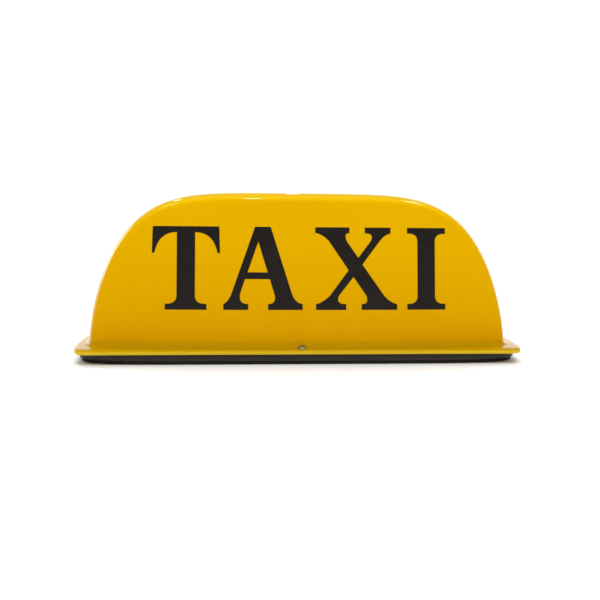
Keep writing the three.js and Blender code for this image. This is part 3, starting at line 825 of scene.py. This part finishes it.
def plate(section, side_inset=0.0, ring=False):
    """A plate inside the lens's plan: section gives (inset, height) pairs in millimetres."""
    loops = []
    for inset, z in section:
        length = HALF_LENGTH - inset * MM
        depth = HALF_DEPTH - (inset + side_inset) * MM
        outline = plan_outline(BASE_POWERS, length, depth, PLATE_PLAN_STEPS)
        loops.append([point + Vector((0, 0, z * MM)) for point in outline])
    return skinned(loops, ring)


def mesh_of(name, *solids):
    """One mesh that holds the solids, with its sharp edges marked; it uses the solids up."""
    whole = bmesh.new()
    for solid in solids:
        part = bpy.data.meshes.new(name)
        solid.to_mesh(part)
        solid.free()
        whole.from_mesh(part)
        bpy.data.meshes.remove(part)
    mesh = bpy.data.meshes.new(name)
    whole.to_mesh(mesh)
    whole.free()
    mesh.set_sharp_from_angle(angle=SHARP_ANGLE)
    return mesh


def carved(name, base, joined=(), cut=()):
    """The mesh of base with some solids joined to it and then others cut from it."""
    made = new_object(name, mesh_of(name, base))
    helpers = []
    for solids, operation in ((joined, "UNION"), (cut, "DIFFERENCE")):
        if solids:
            helper = new_object("helper", mesh_of("helper", *solids))
            modifier = made.modifiers.new(operation, "BOOLEAN")
            modifier.operation = operation
            modifier.solver = "EXACT"
            modifier.object = helper
            helpers.append(helper)
    graph = bpy.context.evaluated_depsgraph_get()
    mesh = bpy.data.meshes.new_from_object(made.evaluated_get(graph))
    for item in [made] + helpers:
        bpy.data.meshes.remove(item.data)
    mesh.set_sharp_from_angle(angle=SHARP_ANGLE)
    return mesh


def along_y(solid, x, y, z):
    """A solid turned round Z laid along Y, with its middle at a point in millimetres."""
    turn = Matrix.Rotation(QUARTER, 3, "X")
    bmesh.ops.rotate(solid, verts=solid.verts, cent=(0, 0, 0), matrix=turn)
    bmesh.ops.translate(solid, verts=solid.verts, vec=Vector((x, y, z)) * MM)
    return solid


# ---- Base: tray, gasket and pad, in millimetres ----
GAP = 0.3
PAD_TOP = 2.4
TRAY_LOW = PAD_TOP + GAP
FLOOR_HIGH = 5.2
TRAY_HIGH = 8.1
TRAY_INSET = 3.0
TRAY_WALL = 2.7
PAD_INSET = 4.5
POCKET_HIGH = 13.6
POCKET_CEILING = 11.4
POCKET_RADIUS = 23.7
POCKET_OUTER = 26.0
POST_HIGH = 19.7
PAD_MAGNET_HOLE = 25.5
PAD_SCREW_HOLE = 4.6
GASKET_HEIGHTS = (5.5, TRAY_HIGH)
GASKET_INSETS = (6.4, 9.8)
GASKET_SIDE_INSET = 5.2
# Radii of the bosses, and of the holes and wells in them, with where the blind ones end.
COVER_BOSS = 5.2
BOARD_POST = 3.4
FLANGE_BOSS = 3.6
MAGNET_HOLE = 2.3
COVER_WELL = 3.9
COVER_WELL_HIGH = 5.2
SCREW_HOLE = 1.8
FLANGE_HOLE_LOW = 3.7
BOARD_HOLE = 1.5
BOARD_HOLE_LOW = 10
# How far cutters reach past what they cut.
UNDER = 1.0
BEYOND = 5.0

MAGNETS = middles_of(numbered("magnet_cup"))
COVER_SCREWS = middles_of(numbered("cover_screw"))
BOARD_SCREWS = middles_of(numbered("board_screw"))
FLANGE_SCREWS = middles_of(["flange_screw_front", "flange_screw_back"])


def grommet_gap():
    size = (9.6, 26, TRAY_HIGH - FLOOR_HIGH + BEYOND)
    middle = (middle_of("cable_grommet").x / MM, 54.7, FLOOR_HIGH + 3.95)
    return block(size, middle, 0.2)


def make_tray():
    edge = TRAY_INSET
    wall = TRAY_INSET + TRAY_WALL
    section = [
        (edge + 0.9, TRAY_LOW), (edge + 0.26, TRAY_LOW + 0.26), (edge, TRAY_LOW + 0.9),
        (edge, TRAY_HIGH - 0.5), (edge + 0.15, TRAY_HIGH - 0.15), (edge + 0.5, TRAY_HIGH),
        (wall - 0.4, TRAY_HIGH), (wall, TRAY_HIGH - 0.4),
        (wall, FLOOR_HIGH + 0.5), (wall + 0.5, FLOOR_HIGH),
    ]
    inside = FLOOR_HIGH - UNDER
    joined = bosses(MAGNETS, POCKET_OUTER, inside, POCKET_HIGH, 1.0)
    joined += bosses(COVER_SCREWS, COVER_BOSS, inside, TRAY_HIGH)
    joined += bosses(BOARD_SCREWS, BOARD_POST, inside, POST_HIGH)
    joined += bosses(FLANGE_SCREWS, FLANGE_BOSS, inside, TRAY_HIGH)
    pocket = [
        (POCKET_RADIUS, -UNDER), (POCKET_RADIUS, POCKET_CEILING),
        (MAGNET_HOLE, POCKET_CEILING), (MAGNET_HOLE, POCKET_HIGH + BEYOND),
    ]
    well = [
        (COVER_WELL, -UNDER), (COVER_WELL, COVER_WELL_HIGH),
        (SCREW_HOLE, COVER_WELL_HIGH), (SCREW_HOLE, TRAY_HIGH + BEYOND),
    ]
    cut = [turned(pocket, place.x, place.y) for place in MAGNETS]
    cut += [turned(well, place.x, place.y) for place in COVER_SCREWS]
    cut += drills(BOARD_SCREWS, BOARD_HOLE, BOARD_HOLE_LOW, POST_HIGH + BEYOND)
    cut += drills(FLANGE_SCREWS, SCREW_HOLE, FLANGE_HOLE_LOW, TRAY_HIGH + BEYOND)
    mesh = carved("tray", plate(section), joined, cut + [grommet_gap()])
    add_mesh("tray", mesh, "black_abs", "base", ["base_tray"])


def make_pad():
    edge = PAD_INSET
    section = [
        (edge + 0.5, 0), (edge + 0.12, 0.12), (edge, 0.5),
        (edge, PAD_TOP - 0.3), (edge + 0.3, PAD_TOP),
    ]
    cut = drills(MAGNETS, PAD_MAGNET_HOLE, -UNDER, PAD_TOP + UNDER)
    cut += drills(COVER_SCREWS, PAD_SCREW_HOLE, -UNDER, PAD_TOP + UNDER)
    add_mesh("pad", carved("pad", plate(section), (), cut), "rubber", "base", ["roof_pad"])


def make_gasket():
    outer, inner = GASKET_INSETS
    low, high = GASKET_HEIGHTS
    corner = 0.7
    section = [
        (outer + corner, low), (outer, low + corner), (outer, high - corner), (outer + corner, high),
        (inner - corner, high), (inner, high - corner), (inner, low + corner), (inner - corner, low),
    ]
    ring = plate(section, side_inset=GASKET_SIDE_INSET, ring=True)
    add_mesh("gasket", carved("gasket", ring, (), [grommet_gap()]), "rubber", "base", ["seal_gasket"])


# ---- Lens bosses: the four posts inside the lens that the cover screws bite into ----
BOSS_HIGH = 27.0
BOSS_RADIUS = 4.5
RIB_WIDTH = 2.4


def make_lens_bosses():
    low = FLANGE_BOTTOM / MM
    posts = []
    for place in COVER_SCREWS:
        side = math.copysign(1, place.y)
        profile = [
            (SCREW_HOLE, low), (BOSS_RADIUS - 0.3, low), (BOSS_RADIUS, low + 0.3),
            (BOSS_RADIUS, BOSS_HIGH - 0.5), (BOSS_RADIUS - 0.5, BOSS_HIGH),
            (SCREW_HOLE + 0.3, BOSS_HIGH), (SCREW_HOLE, BOSS_HIGH - 0.3),
        ]
        posts.append(turned(profile, place.x, place.y, ring=True))
        rows = []
        for z in (low, FLANGE_TOP / MM, BOSS_HIGH - 1):
            reach = half_depth(abs(place.x), max(0.0, z * MM - FLANGE_TOP)) - DOME_WALL / 2
            near = place.y + side * (BOSS_RADIUS - 0.4) * MM
            half = RIB_WIDTH / 2 * MM
            corners = [(-half, near), (half, near), (half, side * reach), (-half, side * reach)]
            rows.append([Vector((place.x + x, y, z * MM)) for x, y in corners])
        posts.append(skinned(rows))
    add_mesh("lens_bosses", mesh_of("lens_bosses", *posts), "yellow_lens", "lens")


# ---- Screws: pan heads with a cross recess, drawn with the head standing on z = 0 ----
THREAD_PITCH = 1.1
# The plain length under the head, which the thread doesn't reach.
THREAD_RUNOUT = 0.8
CORE_SHARE = 0.8
HEAD_STEPS = 9
HEAD_ROUNDNESS = 0.7
CROSS_WIDTH = 0.85


def cross_outline(arm, width, z):
    """The twelve corners of a cross, anticlockwise."""
    quarter = [(arm, -width), (arm, width), (width, width)]
    points = []
    for k in range(4):
        turn = Matrix.Rotation(k * QUARTER, 2)
        points += [turn @ Vector(corner) for corner in quarter]
    return [Vector((point.x * MM, point.y * MM, z * MM)) for point in points]


def screw_mesh(name, head_radius, head_height, shank_radius, length):
    """A pan-head screw in millimetres; it points down from its head."""
    core = shank_radius * CORE_SHARE
    profile = [(shank_radius * 0.15, -length), (core * 0.7, -length + shank_radius * 0.9)]
    z = -length + shank_radius * 1.1
    while z + THREAD_PITCH < -THREAD_RUNOUT:
        profile += [(core, z), (shank_radius, z + THREAD_PITCH * 0.35), (core, z + THREAD_PITCH * 0.7)]
        z += THREAD_PITCH
    profile += [(shank_radius, z), (shank_radius, 0), (head_radius - 0.25, 0), (head_radius, 0.25)]
    shoulder = head_height * 0.4
    for i in range(HEAD_STEPS):
        angle = QUARTER * i / HEAD_STEPS
        rise = shoulder + (head_height - shoulder) * math.sin(angle)
        profile.append((head_radius * math.cos(angle) ** HEAD_ROUNDNESS, rise))
    profile.append((head_radius * 0.12, head_height))
    arm = head_radius * 0.55
    depth = head_height * 0.65
    deep = cross_outline(arm * 0.55, CROSS_WIDTH * 0.35, head_height - depth)
    wide = cross_outline(arm * 1.1, CROSS_WIDTH * 0.55, head_height + 0.2)
    return carved(name, turned(profile), (), [skinned([deep, wide])])


def add_screws(kind, nodes, head_height, shank_radius, body, head_down=False):
    """Screws of one kind in the places of their CAD nodes, whose boxes give the other sizes."""
    low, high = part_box(nodes[0])
    radius = max(high.x - low.x, high.y - low.y) / 2 / MM
    length = (high.z - low.z) / MM - head_height
    mesh = screw_mesh(kind, radius, head_height, shank_radius, length)
    for node in nodes:
        low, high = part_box(node)
        seat = low.z + head_height * MM if head_down else high.z - head_height * MM
        middle = middle_of(node)
        place = Vector((middle.x, middle.y, seat))
        add_mesh("fine_" + node, mesh, "screw_steel", body, [node], place, head_down)


def make_screws():
    add_screws("flange_screws", ["flange_screw_front", "flange_screw_back"], 2.2, 1.5, "lens")
    add_screws("cover_screws", numbered("cover_screw"), 1.9, 1.5, "base", head_down=True)
    add_screws("board_screws", numbered("board_screw"), 2.0, 1.2, "base")
    add_screws("magnet_screws", numbered("magnet_screw"), 2.8, 2.0, "base")


# ---- Magnets: a rubber boot with grip rings, a pressed cup and a ferrite ring ----
GRIP_RADII = (7, 11, 15, 19, 22.5)
GRIP_HALF_WIDTH = 0.6
GRIP_DEPTH = 0.45


def boot_profile():
    """From the middle of the underside, across its grip grooves, up and over the rim."""
    profile = [(1, 0)]
    for radius in GRIP_RADII:
        profile += [(radius - GRIP_HALF_WIDTH, 0), (radius - 0.35, GRIP_DEPTH)]
        profile += [(radius + 0.35, GRIP_DEPTH), (radius + GRIP_HALF_WIDTH, 0)]
    profile += [(24.3, 0), (24.8, 0.2), (25, 0.7), (25, 2.0), (24.6, 2.4)]
    return profile + [(23.2, 2.4), (23.2, 3.2), (1, 3.2)]


def make_magnets():
    boot = mesh_of("boot", turned(boot_profile()))
    cup = mesh_of("cup", turned([
        (21.4, 3.5), (23.1, 3.5), (23.2, 3.6), (23.2, 9.9), (22.85, 10.75), (22.0, 11.1), (2.5, 11.1),
        (2.3, 10.9), (2.3, 9.1), (20.9, 9.1), (21.4, 8.6),
    ], ring=True))
    ring = mesh_of("ring", turned([
        (3.6, 3.5), (20.7, 3.5), (21.1, 3.9), (21.1, 8.3), (20.6, 8.8), (3.6, 8.8), (3.3, 8.5), (3.3, 3.8),
    ], ring=True))
    add_copies(
        [Vector((middle.x, middle.y, 0)) for middle in MAGNETS],
        ("boot", boot, "rubber", "magnet_boot"),
        ("cup", cup, "cup_steel", "magnet_cup"),
        ("ring", ring, "ferrite", "magnet_ring"),
    )


# ---- LED board, in millimetres ----
BOARD_HALF_LENGTH = 125
BOARD_HALF_DEPTH = 12
BOARD_LOW = 20.0
BOARD_HIGH = 21.6
PART_SEAT = BOARD_HIGH + GAP
TRACK_THICKNESS = 0.05
TRACK_WIDTH = 1.4
# From the middle of a part to the end of the track beside it.
TRACK_GAP = 2.6
# Two rails run the length of the board.
RAIL_WIDTH = 1.0
RAIL_Y = 10.4
RAIL_END = BOARD_HALF_LENGTH - 5
LED_SIZE = (5, 5, 1.6)
CHIP_SIZE = (5.4, 3.2, 1.0)
LED_X = [place.x / MM for place in middles_of(numbered("led", 8))]
CHIP_X = [place.x / MM for place in middles_of(numbered("resistor", 2))]


def track(x0, x1, y, width):
    """A copper track along X on top of the board."""
    middle = ((x0 + x1) / 2, y, BOARD_HIGH + TRACK_THICKNESS / 2)
    return block((x1 - x0, width, TRACK_THICKNESS), middle, TRACK_THICKNESS * 0.3)


def pad_pairs(places, size, reach):
    """A solder pad at reach to either side of each place along the board."""
    middle = BOARD_HIGH + GAP / 2
    return [block(size, (x + side * reach, 0, middle), 0.1) for x in places for side in SIDES]


def make_board():
    size = (2 * BOARD_HALF_LENGTH, 2 * BOARD_HALF_DEPTH, BOARD_HIGH - BOARD_LOW)
    sheet = block(size, (0, 0, (BOARD_LOW + BOARD_HIGH) / 2), 0.15)
    holes = drills(BOARD_SCREWS, BOARD_HOLE, BOARD_LOW - UNDER, BOARD_HIGH + UNDER)
    add_mesh("board", carved("board", sheet, (), holes), "board_green", "base", ["led_board"])

    stops = sorted(LED_X + CHIP_X + [0.0])
    tracks = [track(a + TRACK_GAP, b - TRACK_GAP, 0, TRACK_WIDTH) for a, b in zip(stops, stops[1:])]
    tracks += [track(-RAIL_END, RAIL_END, side * RAIL_Y, RAIL_WIDTH) for side in SIDES]
    add_mesh("board_tracks", mesh_of("board_tracks", *tracks), "board_track", "base")

    pads = pad_pairs(LED_X, (1.5, 4.2, GAP), 2.3) + pad_pairs(CHIP_X, (1.8, 3.4, GAP), 2.9)
    low, high = BOARD_HIGH, BOARD_HIGH + 0.12
    washer = [(BOARD_HOLE, low), (3.1, low), (3.1, high), (BOARD_HOLE, high)]
    pads += [turned(washer, place.x, place.y, ring=True) for place in BOARD_SCREWS]
    add_mesh("solder_pads", mesh_of("solder_pads", *pads), "tin", "base")


def make_board_parts():
    package = block(LED_SIZE, (0, 0, LED_SIZE[2] / 2), 0.18)
    well = turned([(1.5, 1.1), (2.2, 1.9)])
    led = carved("led", package, (), [well])
    glow = mesh_of("phosphor", turned([(1.6, 1.0), (1.66, 1.32), (0.8, 1.38)]))
    seats = [Vector((x, 0, PART_SEAT)) * MM for x in LED_X]
    add_copies(seats, ("led_body", led, "led_white", "led"), ("led_phosphor", glow, "phosphor", None))

    length, depth, height = CHIP_SIZE
    chip = mesh_of("chip", block(CHIP_SIZE, (0, 0, height / 2), 0.08))
    cap_places = [(side * (length / 2 + 0.15), 0, height / 2) for side in SIDES]
    caps = mesh_of("chip_caps", *[block((0.7, depth, height), middle, 0.12) for middle in cap_places])
    seats = [Vector((x, 0, PART_SEAT)) * MM for x in CHIP_X]
    add_copies(seats, ("chip_body", chip, "chip_black", "resistor"), ("chip_caps", caps, "tin", None))


# ---- Leads: connector, grommet and the two wires ----
LEAD_RADIUS = 0.9
LEAD_SPREAD = 1.7
LEAD_LOW = 6.75
CONNECTOR_SIZE = (10, 8, 7)
LEAD_HIGH = PART_SEAT + CONNECTOR_SIZE[2] / 2
GROMMET_X = 30
WIRE_HOLE = 1.1
PATH_STEPS = 8
TUBE_SIDES = 16


def smooth_path(points):
    """A curve through all the points."""
    whole = [2 * points[0] - points[1]] + points + [2 * points[-1] - points[-2]]
    path = []
    for a, b, c, d in zip(whole, whole[1:], whole[2:], whole[3:]):
        for i in range(PATH_STEPS):
            t = i / PATH_STEPS
            bend = (2 * a - 5 * b + 4 * c - d) * t**2 + (3 * b - a - 3 * c + d) * t**3
            path.append((2 * b + (c - a) * t + bend) / 2)
    return path + [points[-1]]


def tube(path, radius):
    """A round tube along a path, without twist."""
    loops = []
    across = Vector((1, 0, 0))
    for k, point in enumerate(path):
        way = (path[min(k + 1, len(path) - 1)] - path[max(k - 1, 0)]).normalized()
        across = (across - way * across.dot(way)).normalized()
        up = way.cross(across)
        angles = [2 * PI * i / TUBE_SIDES for i in range(TUBE_SIDES)]
        loops.append([point + (across * math.cos(t) + up * math.sin(t)) * radius for t in angles])
    return skinned(loops)


def make_leads():
    for name, side in (("black", -1), ("red", 1)):
        shift = side * LEAD_SPREAD
        stops = [
            (GROMMET_X + shift, 59.5, LEAD_LOW), (GROMMET_X + shift, 42, LEAD_LOW),
            (GROMMET_X - 1 + shift, 35, LEAD_LOW + 1), (16 + shift, 25, 15),
            (5 + shift, 17, 24), (shift, 9, LEAD_HIGH), (shift, 3, LEAD_HIGH),
        ]
        path = smooth_path([Vector(stop) * MM for stop in stops])
        mesh = mesh_of("wire_" + name, tube(path, LEAD_RADIUS * MM))
        add_mesh("wire_" + name, mesh, "wire_" + name, "base", ["lead_" + name])


def make_connector():
    body = block(CONNECTOR_SIZE, (0, 0, LEAD_HIGH), 0.35)
    cut = []
    for side in SIDES:
        x = side * LEAD_SPREAD
        cut.append(along_y(turned([(1.2, -2.5), (1.2, 2.5)]), x, 4, LEAD_HIGH))
        clamp = [(WIRE_HOLE, PART_SEAT + 5.6), (WIRE_HOLE, PART_SEAT + 9)]
        cut.append(turned(clamp, x * MM * 1.3, -0.8 * MM))
    add_mesh("connector", carved("connector", body, (), cut), "black_abs", "base", ["board_connector"])


def make_grommet():
    body = block((9, 17.5, 2.6), (GROMMET_X, 50.75, 6.8), 0.3)
    lip = block((11, 1.8, 4.2), (GROMMET_X, 59.2, 5.4), 0.4)
    bores = []
    for side in SIDES:
        bore = turned([(WIRE_HOLE, -12), (WIRE_HOLE, 12)])
        bores.append(along_y(bore, GROMMET_X + side * LEAD_SPREAD, 51, LEAD_LOW))
    add_mesh("grommet", carved("grommet", body, [lip], bores), "rubber", "base", ["cable_grommet"])


# ======== Studio
FLOOR_REACH = 5
FLOOR_TONES = ((0.86, 0.86, 0.865), (0.88, 0.88, 0.885))
AMBIENT_STRENGTH = 0.6
SEEN_STRENGTH = 1.1
# How bright the sign's gloss sees the studio, and where that changes towards the back and upwards.
MIRRORED_FRONT = 0.012
MIRRORED_BACK = 1.35
MIRRORED_CEILING = 0.08
BACK_BAND = (-0.1, 0.3)
CEILING_BAND = (0.12, 0.45)


def make_floor():
    look = Look("floor", 0.9, specular=0.1)
    look.mottle(*FLOOR_TONES, 3)
    reach = FLOOR_REACH
    corners = [(-reach, -reach, 0), (reach, -reach, 0), (reach, reach, 0), (-reach, reach, 0)]
    mesh = bpy.data.meshes.new("floor")
    mesh.from_pydata(corners, [], [(0, 1, 2, 3)])
    mesh.materials.append(look.material)
    floor = new_object("floor", mesh)


def area_light(name, place, target, width, height, power):
    data = bpy.data.lights.new(name, "AREA")
    data.shape = "RECTANGLE"
    data.size = width
    data.size_y = height
    data.energy = power
    light = new_object(name, data)
    light.location = place
    light.rotation_euler = (Vector(target) - Vector(place)).to_track_quat("-Z", "Y").to_euler()
    return light


def make_world():
    """A white studio; what the sign mirrors from in front of it is dark."""
    world = bpy.data.worlds.new("studio")
    world.use_nodes = True
    bpy.context.scene.world = world
    graph = Graph(world.node_tree)
    background = world.node_tree.nodes["Background"]
    background.inputs["Color"].default_value = (1, 1, 1, 1)
    direction = graph.node("ShaderNodeTexCoord").outputs["Generated"]
    rays = graph.node("ShaderNodeLightPath").outputs
    back = graph.part(direction, "Y")
    up = graph.part(direction, "Z")
    behind = graph.spread(back, *BACK_BAND, easing="SMOOTHSTEP")
    low_down = graph.spread(up, *CEILING_BAND, MIRRORED_BACK, MIRRORED_CEILING, "SMOOTHSTEP")
    mirrored = graph.calculate("ADD", graph.calculate("MULTIPLY", behind, low_down), MIRRORED_FRONT)
    seen = graph.calculate("MULTIPLY", rays["Is Camera Ray"], SEEN_STRENGTH)
    shine = graph.calculate("MULTIPLY", rays["Is Glossy Ray"], mirrored)
    special = graph.calculate("MAXIMUM", rays["Is Camera Ray"], rays["Is Glossy Ray"])
    plain = graph.calculate("MULTIPLY", graph.calculate("SUBTRACT", 1.0, special), AMBIENT_STRENGTH)
    total = graph.calculate("ADD", graph.calculate("ADD", seen, shine), plain)
    graph.join(total, background.inputs["Strength"])


# Small far lamps that show as streaks along the dome's rounded edge: place, width, height, radiance.
GLINTS = [
    ((-0.06, 0.28, 1.08), 0.04, 0.16, 24),
    ((0.045, 0.93, 0.45), 0.03, 0.10, 3.2),
    ((0.42, 0.63, 0.80), 0.03, 0.16, 14),
    ((0.485, 0.56, 0.836), 0.02, 0.12, 14),
    ((-0.494, 0.42, 0.913), 0.03, 0.16, 14),
    ((-0.337, 0.816, 0.616), 0.02, 0.10, 10),
    ((-0.82, 0.64, 0.34), 0.30, 0.34, 2.4),
]
GLINT_TARGET = (0, 0, 0.12)


def make_lights():
    key = area_light("front_key", (0, -1.2, 2.1), (0, 0, 0.03), 1.6, 1.0, 34)
    wash = area_light("floor_wash", (0, 3.5, 4.0), (0, 3.0, 0), 8.0, 5.0, 260)
    for lamp in (key, wash):
        lamp.visible_glossy = False
    for k, (place, width, height, radiance) in enumerate(GLINTS):
        power = radiance * PI * width * height
        area_light("glint_%d" % (k + 1), place, GLINT_TARGET, width, height, power)


make_camera()
lens_surface = make_lens()
for letter_name, letter_drawing in LETTERS.items():
    for letter_side in SIDES:
        make_letter(letter_name, letter_side, letter_drawing, lens_surface)
make_lens_bosses()
make_tray()
make_pad()
make_gasket()
make_screws()
make_magnets()
make_board()
make_board_parts()
make_leads()
make_connector()
make_grommet()
make_floor()
make_world()
make_lights()
bpy.context.scene.view_settings.view_transform = "Standard"
